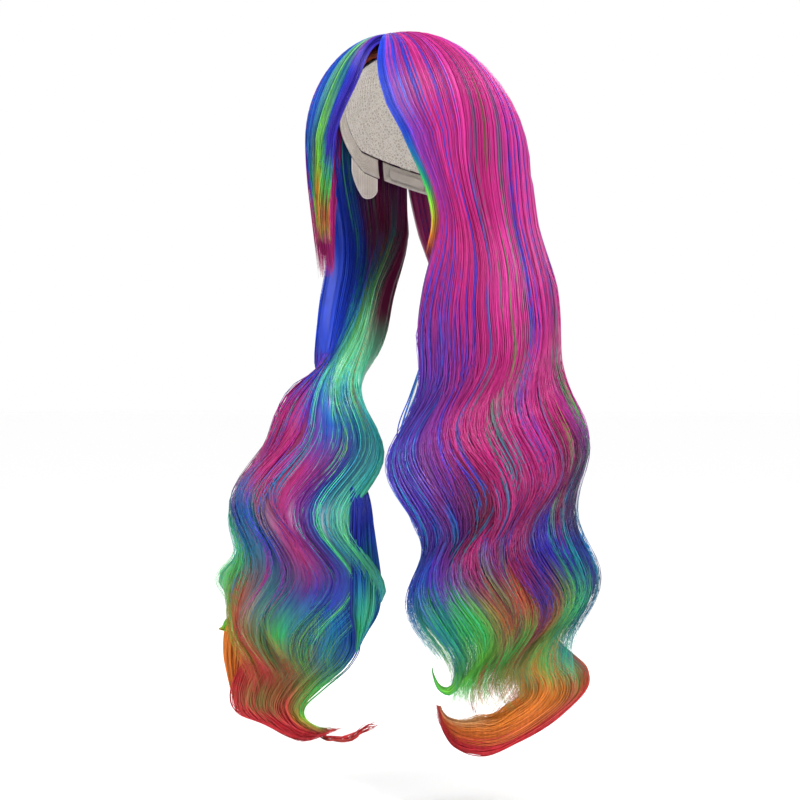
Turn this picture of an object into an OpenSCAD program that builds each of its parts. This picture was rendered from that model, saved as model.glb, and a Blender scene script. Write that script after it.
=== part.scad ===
// Long wavy costume wig: a stretch cap that fits over a head, and the hair sewn to it.
// The wearer faces -Y, the wearer's left is +X and +Z is up.
// The origin is the top of the head, where the inside of the cap rests on it.

/* [Cap] */
// Half width of the head inside the cap
head_w = 76; // [70:1:80]
// Half depth of the head, front to back, inside the cap
head_d = 96; // [90:1:100]
// Height of the head above its widest level
head_h = 98; // [92:1:104]
// Thickness of the net, the elastic and the other cap cloth
cloth_t = 0.8; // [0.5:0.1:1]
// Height of the stiffened hairline band
band_h = 20; // [14:1:24]
// Weft rows sewn across the back of the cap
weft_rows = 6; // [3:1:7]
// Height of one sewn weft track
weft_h = 2.4; // [1.5:0.1:3]

/* [Adjusters] */
// Length of an adjuster strap, from its seam to its hook
strap_len = 44; // [36:1:48]
// Width of an adjuster strap
strap_w = 9; // [6:1:11]
// Hook loops on each side of the nape
loop_count = 5; // [3:1:6]
// Height of an ear tab below the cap's edge
tab_drop = 26; // [18:1:30]

/* [Hair] */
// Height of the hair above the head at the parting
crown_rise = 17; // [14:1:22]
// Thickness of the hair beside and behind the head
side_t = 27; // [20:1:30]
// How far to the wearer's left the parting lies
parting_x = 3; // [0:1:8]
// Sideways size of the waves near the ends
wave_size = 12; // [0:1:14]
// Length of the first wave below the chin
wave_len = 175; // [160:1:220]
// Half thickness of a hanging lock
lock_t = 15; // [10:1:17]

/* [Hidden] */

// Offsets of the cap's layers from the head. Gaps allow for the flat facets of each layer.
strap_o = 0.2;
strap_t = 0.9;
hook_t = 1.2;
loop_o = 1.1;
loop_t = 0.7;
net_o = 2.6;
ribbon_o = net_o + cloth_t + 0.8;
weft_o = ribbon_o + cloth_t + 0.4;
weft_t = 1;
hair_o = weft_o + weft_t + 1;
net_gap = 1.2;         // between the hairline band and the net, in degrees round the cap
band_turn = 104;       // angle of the front band's ends, round from the forehead
nape_turn = 108;       // angle of the nape elastic's ends
patch_half = 13;       // half width of the skin-coloured strip under the parting
patch_front = -48;     // front and back ends of that strip
patch_back = 40;
ribbon_turns = [50, 85, 125, 155, 205, 235, 275, 310];
ribbon_half = 3.5;     // half width of a ribbon, in degrees
weft_first = 5;        // first weft row above the band, and the rows' pitch, in degrees
weft_pitch = 9;
tab_turn = 91;         // an ear tab's middle and half width, in degrees
tab_half = 11;
tab_gap = 1.5;         // between the cap's edge and the tab
stay_w = 3;            // bendable stay: width, thickness and distance from the tab's top
stay_t = 0.6;
stay_inset = 4;
hook_base = [5, 12];   // hook: base plate, tongue and slot
hook_tongue = [5, 4];
hook_slot = [1.5, 8];
loop_first = 12.6;     // first loop beyond the strap, the loops' pitch and half width
loop_pitch = 4.6;
loop_half = 0.6;
loop_rise = 6;         // half height of a loop
label_t = 0.6;
lock_gap = 0.94;       // part of its room that a lock fills
swing_top = -185;      // lowest level of the hair that stays with the cap
swing_gap = 30;        // room for the hanging hair to swing below it
equator = -head_h;

// Angle above the widest level at which the cap ends, by angle round from the forehead
cap_edge = [[0, 56], [30, 43], [60, 12], [90, -14], [120, -22], [150, -30], [180, -33]];
function edge(a) = lookup(abs(a > 180 ? 360 - a : a), cap_edge);

// A point of the cap: angle a round from the forehead, angle e above the widest level
function cap_point(a, e, off) = [(head_w + off) * sin(a) * cos(e),
    -(head_d + off) * cos(a) * cos(e), equator + (head_h + off) * sin(e)];

function ease(t) = let(c = min(1, max(0, t))) c * c * (3 - 2 * c);
function mix(a, b, t) = a + (b - a) * t;
function flat(rows) = [for (r = rows, p = r) p];

// A closed skin between two grids of points, both n + 1 by m + 1
module slab(outer, inner) {
    n = len(outer) - 1;
    m = len(outer[0]) - 1;
    function at(k, i, j) = k * (n + 1) * (m + 1) + i * (m + 1) + j;
    function quad(a, b, c, d) = [[a, b, c], [a, c, d]];
    skins = [for (i = [0:n - 1], j = [0:m - 1]) each concat(
        quad(at(0, i, j), at(0, i + 1, j), at(0, i + 1, j + 1), at(0, i, j + 1)),
        quad(at(1, i, j), at(1, i, j + 1), at(1, i + 1, j + 1), at(1, i + 1, j)))];
    ends = [for (j = [0:m - 1]) each concat(
        quad(at(0, 0, j), at(0, 0, j + 1), at(1, 0, j + 1), at(1, 0, j)),
        quad(at(0, n, j + 1), at(0, n, j), at(1, n, j), at(1, n, j + 1)))];
    sides = [for (i = [0:n - 1]) each concat(
        quad(at(0, i + 1, 0), at(0, i, 0), at(1, i, 0), at(1, i + 1, 0)),
        quad(at(0, i, m), at(0, i + 1, m), at(1, i + 1, m), at(1, i, m)))];
    polyhedron(concat(flat(outer), flat(inner)), concat(skins, ends, sides));
}

// A closed solid through rings of points; joined closes the last ring to the first
module rings_solid(rings, joined = false) {
    n = len(rings);
    m = len(rings[0]);
    last = joined ? n - 1 : n - 2;
    walls = [for (i = [0:last], j = [0:m - 1]) let(
        a = i * m + j, b = i * m + (j + 1) % m,
        c = ((i + 1) % n) * m + (j + 1) % m, d = ((i + 1) % n) * m + j)
        each [[a, b, c], [a, c, d]]];
    caps = joined ? [] : [[for (j = [m - 1:-1:0]) j], [for (j = [0:m - 1]) (n - 1) * m + j]];
    polyhedron(flat(rings), concat(walls, caps));
}

// A strip of cap cloth between angles a0 and a1, and between two heights given from its edge
module cap_strip(a0, a1, lift0, lift1, off, t, n = 12, m = 1) {
    function grid(o) = [for (i = [0:n]) [for (j = [0:m]) let(a = mix(a0, a1, i / n))
        cap_point(a, edge(a) + mix(lift0, lift1, j / m), o)]];
    slab(grid(off + t), grid(off));
}

// Degrees of height on the cap that a length covers
function lift(len) = len / head_h * 57.3;

module crown_net() {
    n = 28;
    m = 9;
    function ring(k, o) = [for (i = [0:n - 1]) let(a = 360 * i / n)
        cap_point(a, mix(edge(a) + lift(band_h) + net_gap, 89, k / m), o)];
    color("#e9e3d9") rings_solid(concat([for (k = [0:m]) ring(k, net_o + cloth_t)],
        [for (k = [m:-1:0]) ring(k, net_o)]), true);
}

module front_band() {
    color("#e2d8c9") cap_strip(-band_turn, band_turn, 0, lift(band_h), net_o, cloth_t, 28);
}

module nape_elastic() {
    color("#d6ccbc") cap_strip(nape_turn, 360 - nape_turn, 0, lift(band_h), net_o, cloth_t, 24, 3);
}

// The skin-coloured strip lies on the net, under the parting
module parting_patch() {
    n = 8;
    function grid(o) = [for (i = [0:n]) [for (j = [0:4]) let(
        y = mix(patch_front, patch_back, i / n),
        x = parting_x + mix(-patch_half, patch_half, j / 4),
        w = head_w + o, d = head_d + o)
        [x, y, equator + (head_h + o) * sqrt(1 - pow(x / w, 2) - pow(y / d, 2))]]];
    color("#e8c3a6") slab(grid(ribbon_o), grid(ribbon_o + cloth_t));
}

module ribbon_spokes() {
    color("#ded3c3") for (a = ribbon_turns)
        cap_strip(a - ribbon_half, a + ribbon_half, lift(band_h) + 1, min(68, 70 - edge(a)),
            ribbon_o, cloth_t, 2, 8);
}

// Weft tracks between two angles, spread from near the edge to under the crown
module weft_rows(a0, a1) {
    color("#3a2a3f") for (k = [0:weft_rows - 1])
        let(low = lift(band_h) + weft_first + k * weft_pitch)
            cap_strip(a0, a1, low, low + lift(weft_h), weft_o, weft_t, 16);
}

module weft_rows_left() weft_rows(62, 118);
module weft_rows_right() weft_rows(242, 298);
module weft_rows_back() weft_rows(122, 238);

// An ear tab hangs from the cap's edge in front of the ear, rounded at its lower end
module ear_tab(side) {
    n = 8;
    function grid(o) = [for (i = [0:n]) [for (j = [0:3]) let(
        a = tab_turn + mix(-tab_half, tab_half, i / n),
        round = sqrt(max(0.05, 1 - pow((a - tab_turn) / (tab_half + 2), 2))),
        p = cap_point(a, edge(a), o))
        [p[0], p[1], p[2] - tab_gap - tab_drop * round * j / 3]]];
    color("#e2d8c9") mirror([side < 0 ? 1 : 0, 0, 0])
        slab(grid(net_o), grid(net_o + cloth_t));
}

module ear_tab_left() ear_tab(1);
module ear_tab_right() ear_tab(-1);

// The bendable stay lies flat on the tab's outer face, with rounded ends
module ear_tab_stay(side) {
    p = cap_point(tab_turn, edge(tab_turn), net_o + cloth_t);
    len = tab_drop - 2 * stay_inset;
    x = p[0] + 1.5 * stay_t;
    color("silver") translate([side * x, p[1], p[2] - stay_inset - len / 2])
        rotate([90, 0, 90]) translate([0, 0, -stay_t / 2]) linear_extrude(stay_t) union() {
            square([stay_w, len - stay_w], center = true);
            for (end = [-1, 1]) translate([0, end * (len - stay_w) / 2])
                circle(d = stay_w, $fn = 32);
        }
}

module ear_tab_stay_left() ear_tab_stay(1);
module ear_tab_stay_right() ear_tab_stay(-1);

// Each adjuster lies inside the nape: a strap from behind the ear and a flat hook on its end
strap_a0 = 112;                                  // where the strap is sewn
strap_turn = strap_len / head_d * 57.3;          // angle that it covers
function strap_z(a) = cap_point(a, edge(a), 0)[2] + 8;
function point_at(a, z, o) = cap_point(a, asin((z - equator) / (head_h + o)), o);
function strap_point(a, dz, o) = point_at(a, strap_z(a) + dz, o);

module adjuster_strap(side) {
    n = 8;
    function grid(o) = [for (i = [0:n]) [for (j = [0:1]) let(
        a = mix(strap_a0, strap_a0 + strap_turn, i / n))
        strap_point(a, (j - 0.5) * strap_w, o)]];
    color("#d6ccbc") mirror([side < 0 ? 1 : 0, 0, 0]) slab(grid(strap_o + strap_t), grid(strap_o));
}

module adjuster_strap_left() adjuster_strap(1);
module adjuster_strap_right() adjuster_strap(-1);

// A plastic hook: a plate with a slot for the strap, and a blunt tongue for the loops
module adjuster_hook(side) {
    a = strap_a0 + strap_turn + 1;
    o = strap_o + hook_t / 2;
    p = strap_point(a, 0, o);
    along = strap_point(a + 8, 0, o) - p;
    u = along / norm(along);
    rise = strap_point(a, 6, o) - strap_point(a, -6, o);
    across = rise - (rise * u) * u;
    v = across / norm(across);
    w = cross(u, v);
    color("#b7a894") mirror([side < 0 ? 1 : 0, 0, 0]) multmatrix([[u[0], v[0], w[0], p[0]],
        [u[1], v[1], w[1], p[1]], [u[2], v[2], w[2], p[2]], [0, 0, 0, 1]])
        translate([0, 0, -hook_t / 2]) linear_extrude(hook_t) difference() {
            union() {
                translate([0, -hook_base[1] / 2]) square(hook_base);
                translate([hook_base[0], -hook_tongue[1] / 2]) square(hook_tongue);
                translate([hook_base[0] + hook_tongue[0], 0]) circle(d = hook_tongue[1], $fn = 32);
            }
            translate([hook_slot[0], -hook_slot[1] / 2]) square(hook_slot);
        }
}

module adjuster_hook_left() adjuster_hook(1);
module adjuster_hook_right() adjuster_hook(-1);

// Loops on the elastic that the hooks catch, from the hook towards the middle of the nape
module hook_loops(side) {
    first = strap_a0 + strap_turn + loop_first;
    function grid(a, o) = [for (i = [-1, 1]) [for (j = [-2:2])
        strap_point(a + i * loop_half, j * loop_rise / 2, o)]];
    color("#cfc4b3") mirror([side < 0 ? 1 : 0, 0, 0]) for (k = [0:loop_count - 1])
        let(a = first + k * loop_pitch) slab(grid(a, loop_o + loop_t), grid(a, loop_o));
}

module hook_loops_left() hook_loops(1);
module hook_loops_right() hook_loops(-1);

// A blank label, sewn inside at the back
module care_label() {
    function grid(o) = [for (a = [163:3:175]) [for (z = [-36:5.5:-14]) point_at(a, equator + z, o)]];
    color("#f2f0ee") slab(grid(strap_o + label_t), grid(strap_o));
}

// ---- Hair over the head ----
// Thickness of the hair at angle a round from the forehead
function hair_t(a) = mix(10, side_t, ease((a - 25) / 60));

// Lowest level of the head's curve: the back of the hair curves in lower down than the front
function brow(a, k) = equator - 36 * k * ease((a - 60) / 80);

// A hair's path over the head: from the parting, angle v = 0, to beside the head, v = 90.
// k is 0 on the inner face of the hair and 1 on its outer face.
function crown_point(a, v, k) = let(
    off = mix(hair_o, hair_o + hair_t(a), k),
    top = mix(hair_o + 1.2, crown_rise, k),
    y = mix(-56, 44, ease((a - 20) / 160)),
    dip = 9 * pow((y + 5) / 55, 2),
    side = [(head_w + off) * sin(a), -(head_d + off) * cos(a)],
    out = pow(sin(v), 1 + 0.3 * k * ease((a - 60) / 80)),
    flat = mix([0.6, y], side, out))
    [flat[0], flat[1], mix(top - dip, brow(a, k), 1 - cos(v))];

// Below the head's curve the hair hangs, drawn in to the neck and, in front, back off the face
function hang_point(a, z, k) = let(
    drop = max(0, brow(a, k) - z), pull = 0.1 * pow(drop / 100, 2),
    p = crown_point(a + 15 * drop / 60 * (1 - ease((a - 30) / 40)), 90, k))
    [p[0] * (1 - pull), p[1] * (1 - pull), z];

// A shell of hair from angle a0 to a1, from the parting to a lowest level. Angles over 180
// are on the other side of the back.
module crown_shell(a0, a1, low, side, n = 9) {
    m = 9;
    hung = 3;
    function p(a, j, k) = j <= m ? crown_point(a, mix(4, 90, j / m), k)
        : hang_point(a, mix(brow(a, k), low, (j - m) / hung), k);
    function grid(k) = [for (i = [0:n]) [for (j = [0:m + hung]) let(
        a = mix(a0, a1, i / n), q = p(min(a, 360 - a), j, k), way = side * sign(180 - a))
        [parting_x * (1 - sin(90 * min(1, j / m))) + way * q[0], q[1], q[2]]]];
    if (side > 0) slab(grid(0), grid(1));
    else slab(grid(1), grid(0));
}

module crown_hair_left() {
    color("#c4268a") crown_shell(62, 128, swing_top, 1);
}

module crown_hair_right() {
    color("#2f4fd0") crown_shell(66, 128, swing_top, -1);
}

// The back is one shell, round from behind one ear to the other
module crown_hair_back() {
    color("#8a1f6d") crown_shell(129, 231, swing_top, 1, 18);
}

module fringe_left() {
    color("#3340d8") crown_shell(30, 61, -168, 1);
}

module fringe_right() {
    color("#35b35a") crown_shell(20, 65, -148, -1);
}

// ---- Hanging hair ----
// A hanging sheet of hair is a list of rows, from top to bottom. A row is an arc through its
// front edge, its middle and its outer edge: [x, y, x, y, x, y, z, thickness].
left_sheet = [
    [ 78, -72, 116,  -8, 106,  66, -185, 0.8],
    [ 72, -76, 124, -20, 116,  64, -250, 1.0],
    [ 64, -74, 136, -34, 128,  60, -320, 1.1],
    [ 56, -80, 142, -48, 144,  62, -390, 1.2],
    [ 54, -80, 148, -56, 154,  64, -460, 1.2],
    [ 62, -76, 148, -58, 160,  64, -530, 1.2],
    [ 58, -76, 146, -56, 172,  60, -600, 1.2],
    [ 76, -66, 138, -48, 160,  48, -665, 1.0],
    [ 92, -40, 124, -30, 138,  20, -715, 0.6]];

right_sheet = [
    [-58,  56, -98,  34, -94, -22, -185, 0.8],
    [-58,  20, -90,   6, -92, -34, -250, 0.9],
    [-58,  -6, -92, -18, -106, -40, -320, 0.9],
    [-54, -12, -112, -62, -156, -42, -390, 1.1],
    [-52, -22, -132, -78, -186, -48, -460, 1.2],
    [-46, -24, -134, -84, -202, -54, -530, 1.2],
    [-44, -26, -132, -84, -200, -58, -600, 1.1],
    [-82, -42, -142, -78, -206, -60, -665, 0.9],
    [-120, -50, -150, -68, -184, -58, -715, 0.5]];

back_sheet = [
    [ 84,  94,   4, 128, -68,  98, -185, 0.6],
    [ 84,  94,  12, 118, -52,  96, -250, 0.8],
    [ 84,  96,  20, 116, -38,  94, -320, 0.9],
    [ 84,  96,  26, 116, -30,  92, -390, 0.9],
    [ 86,  96,  28, 116, -28,  92, -460, 0.9],
    [ 86,  96,  30, 116, -26,  92, -530, 0.9],
    [ 86,  96,  32, 116, -22,  92, -600, 0.8],
    [ 80,  98,  34, 114, -10,  94, -665, 0.6],
    [ 60, 102,  36, 110,  12,  98, -712, 0.3]];

// The row at a fraction t of the way down, on a smooth curve through the rows
function row_at(sheet, t) = let(
    last = len(sheet) - 1, u = min(last - 0.0001, max(0, t * last)), i = floor(u), f = u - i,
    a = sheet[max(0, i - 1)], b = sheet[i], c = sheet[i + 1], d = sheet[min(last, i + 2)])
    0.5 * (2 * b + (c - a) * f + (2 * a - 5 * b + 4 * c - d) * f * f
        + (3 * b - a - 3 * c + d) * f * f * f);

// Sideways wave at height z; the two edges of a sheet wave against each other
function wave(z, s) = let(h = -270 - z)
    -wave_size * ease((-230 - z) / 260) * cos(360 * (h / wave_len + 3.2e-6 * h * h) + 180 * s);

// A point of a sheet: s across it from 0 to 1, d through its thickness from -1 to 1
function sheet_point(sheet, s, d, t) = let(
    r = row_at(sheet, t), p = [r[0], r[1]], q = [r[4], r[5]],
    c = 2 * [r[2], r[3]] - (p + q) / 2,
    mid = (1 - s) * (1 - s) * p + 2 * s * (1 - s) * c + s * s * q,
    along = (1 - s) * (c - p) + s * (q - c),
    u = along / norm(along),
    xy = mid + u * wave(r[6], s) + [u[1], -u[0]] * d * lock_t * r[7])
    [xy[0], xy[1], r[6]];

// A lock is part of a sheet, from s0 to s1 across it and from t0 to t1 down it
module lock(sheet, s0, s1, t0, t1, sides = 12, steps = 26, tip = 0.3) {
    function ring(t, w) = [for (j = [0:sides - 1]) let(a = 360 * j / sides)
        sheet_point(sheet, (s0 + s1) / 2 + (s1 - s0) / 2 * lock_gap * w * cos(a), w * sin(a), t)];
    function slim(f) = 1 - (1 - tip) * pow(max(0, f - 0.82) / 0.18, 1.6);
    rings_solid([for (i = [0:steps]) ring(mix(t0, t1, i / steps), slim(i / steps))]);
}

hang_t = swing_gap / 530;      // fraction of a sheet above the hanging hair

module left_lock_face() {
    color("#5a3fd0") lock(left_sheet, 0, 0.22, hang_t, 0.84);
}

module left_lock_front() {
    color("#c8258c") lock(left_sheet, 0.22, 0.5, hang_t, 0.85);
}

module left_lock_middle() {
    color("#d02a8e") lock(left_sheet, 0.5, 0.76, hang_t, 0.9);
}

module left_lock_outer() {
    color("#3a55c8") lock(left_sheet, 0.76, 1, hang_t, 0.86);
}

module right_lock_blue() {
    color("#2746dd") lock(right_sheet, 0, 0.2, hang_t, 0.9);
}

module right_lock_green() {
    color("#34c483") lock(right_sheet, 0.2, 0.42, hang_t, 0.93);
}

module right_lock_front() {
    color("#c8258c") lock(right_sheet, 0.42, 0.72, hang_t, 0.93);
}

module right_lock_outer() {
    color("#5fbf4a") lock(right_sheet, 0.72, 1, hang_t, 0.82);
}

module back_lock_left() {
    color("#b32280") lock(back_sheet, 0, 0.32, hang_t, 0.97);
}

module back_lock_centre() {
    color("#7d2fb0") lock(back_sheet, 0.32, 0.68, hang_t, 1);
}

module back_lock_right() {
    color("#a3205f") lock(back_sheet, 0.68, 1, hang_t, 0.97);
}

// ---- Curled ends ----
// A curl is a flat ribbon of hair along a smooth path through a few points
function path_at(pts, t) = let(
    last = len(pts) - 1, u = min(last - 0.0001, max(0, t * last)), i = floor(u), f = u - i,
    a = pts[max(0, i - 1)], b = pts[i], c = pts[i + 1], d = pts[min(last, i + 2)])
    0.5 * (2 * b + (c - a) * f + (2 * a - 5 * b + 4 * c - d) * f * f
        + (3 * b - a - 3 * c + d) * f * f * f);

// wide and thick are half sizes; face is the way that the ribbon's flat side looks
module curl(pts, wide, thick, face, grow = 0.5, tip = 0.2, sides = 10, steps = 18) {
    function size(f) = mix(grow, 1, ease(f / 0.3)) * mix(1, tip, ease((f - 0.55) / 0.45));
    function ring(f) = let(
        p = path_at(pts, f), v = path_at(pts, f + 0.01) - path_at(pts, f - 0.01),
        t = v / norm(v), n0 = face - (face * t) * t, n = n0 / norm(n0), b = cross(t, n))
        [for (j = [0:sides - 1]) let(a = 360 * j / sides)
            p + size(f) * (b * wide * cos(a) + n * thick * sin(a))];
    rings_solid([for (i = [0:steps]) ring(i / steps)]);
}

outward = [0.3, -0.95, 0];

module left_tip_curl() {
    color("#d3303a") curl([[168, 52, -651], [170, 57, -672], [154, 25, -695], [128, -17, -710],
        [101, -47, -711], [84, -62, -698], [80, -64, -682]], 15, 8, outward, 0.6, 0.35);
}

module left_hook_curl() {
    color("#4fae35") curl([[109, -68, -652], [109, -69, -662], [101, -76, -668],
        [92, -83, -661], [89, -86, -646]], 5, 4, outward, 0.8, 0.15);
}

module right_flip_curl() {
    color("#e8862c") curl([[-198, -62, -616], [-212, -68, -634], [-213, -66, -668],
        [-208, -62, -706]], 9, 9, outward, 0.6, 0.5);
}

module right_tip_curl() {
    color("#cf2d38") curl([[-170, -66, -690], [-166, -64, -708], [-140, -58, -724],
        [-108, -54, -727]], 13, 9, outward, 0.9, 0.7);
}

module right_tip_flick() {
    color("#c8323c") curl([[-96, -52, -722], [-78, -48, -724], [-50, -42, -718],
        [-24, -36, -702]], 6, 5, outward, 0.9, 0.2);
}

// The lock in front of the right ear, which tapers to its tip beside the jaw
module side_lock_right() {
    color("#b3247e") curl([[-84, -66, -151], [-87, -64, -176], [-85, -60, -205],
        [-78, -54, -232]], 11, 6, [-0.8, -0.6, 0], 0.9, 0.15);
}

crown_net();
front_band();
parting_patch();
nape_elastic();
ribbon_spokes();
weft_rows_left();
weft_rows_right();
weft_rows_back();
ear_tab_left();
ear_tab_right();
ear_tab_stay_left();
ear_tab_stay_right();
adjuster_strap_left();
adjuster_strap_right();
adjuster_hook_left();
adjuster_hook_right();
hook_loops_left();
hook_loops_right();
care_label();
crown_hair_left();
crown_hair_right();
crown_hair_back();
fringe_left();
fringe_right();
side_lock_right();
left_lock_face();
left_lock_front();
left_lock_middle();
left_lock_outer();
left_tip_curl();
left_hook_curl();
right_lock_blue();
right_lock_green();
right_lock_front();
right_lock_outer();
right_tip_curl();
right_flip_curl();
right_tip_flick();
back_lock_left();
back_lock_centre();
back_lock_right();
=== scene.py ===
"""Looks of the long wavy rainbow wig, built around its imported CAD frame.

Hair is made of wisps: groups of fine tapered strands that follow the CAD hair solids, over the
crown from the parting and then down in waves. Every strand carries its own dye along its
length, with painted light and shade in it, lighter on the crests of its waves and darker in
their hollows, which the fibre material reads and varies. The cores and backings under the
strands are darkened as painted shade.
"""

import math

import bpy
import numpy as np
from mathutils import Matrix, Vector


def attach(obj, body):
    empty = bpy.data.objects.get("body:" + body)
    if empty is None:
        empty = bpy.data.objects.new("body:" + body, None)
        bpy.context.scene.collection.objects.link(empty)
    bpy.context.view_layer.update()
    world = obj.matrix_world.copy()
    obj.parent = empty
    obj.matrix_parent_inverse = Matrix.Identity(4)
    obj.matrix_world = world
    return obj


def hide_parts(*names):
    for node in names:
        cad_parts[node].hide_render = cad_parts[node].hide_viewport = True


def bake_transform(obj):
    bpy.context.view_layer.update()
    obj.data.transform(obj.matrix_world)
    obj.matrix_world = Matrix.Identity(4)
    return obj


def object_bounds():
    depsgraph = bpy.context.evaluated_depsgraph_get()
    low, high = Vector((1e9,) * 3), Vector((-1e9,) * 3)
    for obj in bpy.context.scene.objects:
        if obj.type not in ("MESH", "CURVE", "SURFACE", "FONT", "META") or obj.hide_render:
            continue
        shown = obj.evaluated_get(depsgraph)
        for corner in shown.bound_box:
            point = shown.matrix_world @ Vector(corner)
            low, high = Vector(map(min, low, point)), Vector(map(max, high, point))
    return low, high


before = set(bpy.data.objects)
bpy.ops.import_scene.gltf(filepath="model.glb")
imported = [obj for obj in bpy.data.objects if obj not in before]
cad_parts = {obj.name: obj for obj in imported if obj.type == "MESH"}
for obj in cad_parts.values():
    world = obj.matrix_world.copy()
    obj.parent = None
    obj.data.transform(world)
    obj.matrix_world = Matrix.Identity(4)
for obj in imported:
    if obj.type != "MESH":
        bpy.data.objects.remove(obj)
cad_low, cad_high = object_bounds()
MM = 0.001

# ---- camera, lights, floor
VIEW_AZIMUTH = 40          # degrees round from the wearer's face towards their left
CAMERA_DISTANCE = 2.4
VIEW_SIZE = 0.842          # height and width of the view at the wig
AIM_RIGHT = -0.019         # aim beside the middle of the head, and half way down the hair
AIM_HEIGHT = -0.368
FLOOR_GAP, FLOOR_HALF = 0.05, 60
WHITE = (1, 1, 1, 1)
PAPER = (0.99, 0.99, 0.99, 1)
# Azimuth from the camera and elevation in degrees, distance and size in metres, power in watts
LIGHTS = {"key": (22, 50, 2.2, 0.6, 70), "fill": (-55, 15, 2.4, 1.4, 20),
          "rim": (150, 40, 2.2, 0.9, 14)}


def add_object(name, data):
    made = bpy.data.objects.new(name, data)
    bpy.context.scene.collection.objects.link(made)
    return made


def look(made, aim, azimuth, elevation, distance):
    """Put a camera or a light at a distance from its aim, looking at it."""
    a, e = math.radians(azimuth), math.radians(elevation)
    back = Vector((math.sin(a) * math.cos(e), -math.cos(a) * math.cos(e), math.sin(e)))
    made.location = aim + back * distance
    made.rotation_euler = (-back).to_track_quat("-Z", "Y").to_euler()


def add_camera():
    turn = math.radians(VIEW_AZIMUTH)
    aim = Vector((math.cos(turn), math.sin(turn), 0)) * AIM_RIGHT + Vector((0, 0, AIM_HEIGHT))
    data = bpy.data.cameras.new("camera")
    data.lens = data.sensor_width * CAMERA_DISTANCE / VIEW_SIZE
    camera = add_object("camera", data)
    look(camera, aim, VIEW_AZIMUTH, 0, CAMERA_DISTANCE)
    bpy.context.scene.camera = camera


def add_lights():
    world = bpy.data.worlds.new("studio")
    world.use_nodes = True
    background = world.node_tree.nodes["Background"]
    background.inputs["Color"].default_value = WHITE
    background.inputs["Strength"].default_value = 1.0
    bpy.context.scene.world = world
    bpy.context.scene.view_settings.view_transform = "Standard"
    for name, (turn, elevation, distance, size, power) in LIGHTS.items():
        data = bpy.data.lights.new(name, "AREA")
        data.shape, data.size, data.energy = "DISK", size, power
        aim = Vector((0, 0, AIM_HEIGHT))
        look(add_object(name, data), aim, VIEW_AZIMUTH + turn, elevation, distance)


def add_floor():
    z = cad_low.z - FLOOR_GAP
    corners = [(x * FLOOR_HALF, y * FLOOR_HALF, z) for x, y in ((-1, -1), (1, -1), (1, 1), (-1, 1))]
    mesh = bpy.data.meshes.new("floor")
    mesh.from_pydata(corners, [], [(0, 1, 2, 3)])
    mat, shader, _ = new_material("floor_paper", 0.9)
    shader.inputs["Base Color"].default_value = PAPER
    mesh.materials.append(mat)
    add_object("floor", mesh)


# ---- materials
def new_material(name, roughness):
    mat = bpy.data.materials.new(name)
    mat.use_nodes = True
    shader = mat.node_tree.nodes["Principled BSDF"]
    shader.inputs["Roughness"].default_value = roughness
    return mat, shader, mat.node_tree


def node(tree, kind, **settings):
    """A new node, with its settings given to the inputs or the options of those names."""
    made = tree.nodes.new(kind)
    for name, value in settings.items():
        if name in made.inputs:
            made.inputs[name].default_value = value
        else:
            setattr(made, name, value)
    return made


def link(source, output, target, socket):
    target.id_data.links.new(source.outputs[output], target.inputs[socket])


def stretched_noise(tree, scale, detail):
    """Noise in the piece's own space, with its own scale along each axis."""
    place = node(tree, "ShaderNodeTexCoord")
    stretch = node(tree, "ShaderNodeMapping", Scale=scale)
    noise = node(tree, "ShaderNodeTexNoise", Scale=1.0, Detail=detail)
    link(place, "Object", stretch, "Vector")
    link(stretch, "Vector", noise, "Vector")
    return noise


def remap(source, output, low, high, from_low=0.0, from_high=1.0):
    """A source's value brought from one range into another."""
    made = node(source.id_data, "ShaderNodeMapRange", **{
        "From Min": from_low, "From Max": from_high, "To Min": low, "To Max": high})
    link(source, output, made, "Value")
    return made


def colour_ramp(source, output, low, high, positions=(0.0, 1.0)):
    """A source's value turned into a colour between two."""
    ramp = node(source.id_data, "ShaderNodeValToRGB")
    for element, position, colour in zip(ramp.color_ramp.elements, positions, (low, high)):
        element.position = position
        element.color = (*np.minimum(colour, 1), 1)
    link(source, output, ramp, "Fac")
    return ramp


def shaded(colour_node, tone_node, shader):
    """A colour made lighter and darker by a tone, as the shader's colour."""
    shade = node(shader.id_data, "ShaderNodeHueSaturation")
    link(tone_node, "Result", shade, "Value")
    link(colour_node, "Color", shade, "Color")
    link(shade, "Color", shader, "Base Color")


def emboss(source, output, shader, strength, distance, invert=False):
    """Relief on a shader from a source's value, with a distance in metres."""
    bump = node(shader.id_data, "ShaderNodeBump", Strength=strength, Distance=distance,
                invert=invert)
    link(source, output, bump, "Height")
    link(bump, "Normal", shader, "Normal")


def fibre_material(name):
    """Glossy synthetic fibre: the strand's dye, with any painted light and shade in it, varied finely
    along and between strands.
    """
    mat, shader, tree = new_material(name, 0.34)
    shader.inputs["Specular IOR Level"].default_value = 0.25
    dye = node(tree, "ShaderNodeAttribute", attribute_name="dye")
    noise = stretched_noise(tree, (420, 420, 26), 3.0)
    shaded(dye, remap(noise, "Fac", 0.82, 1.2, 0.3, 0.7), shader)
    return mat


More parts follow.
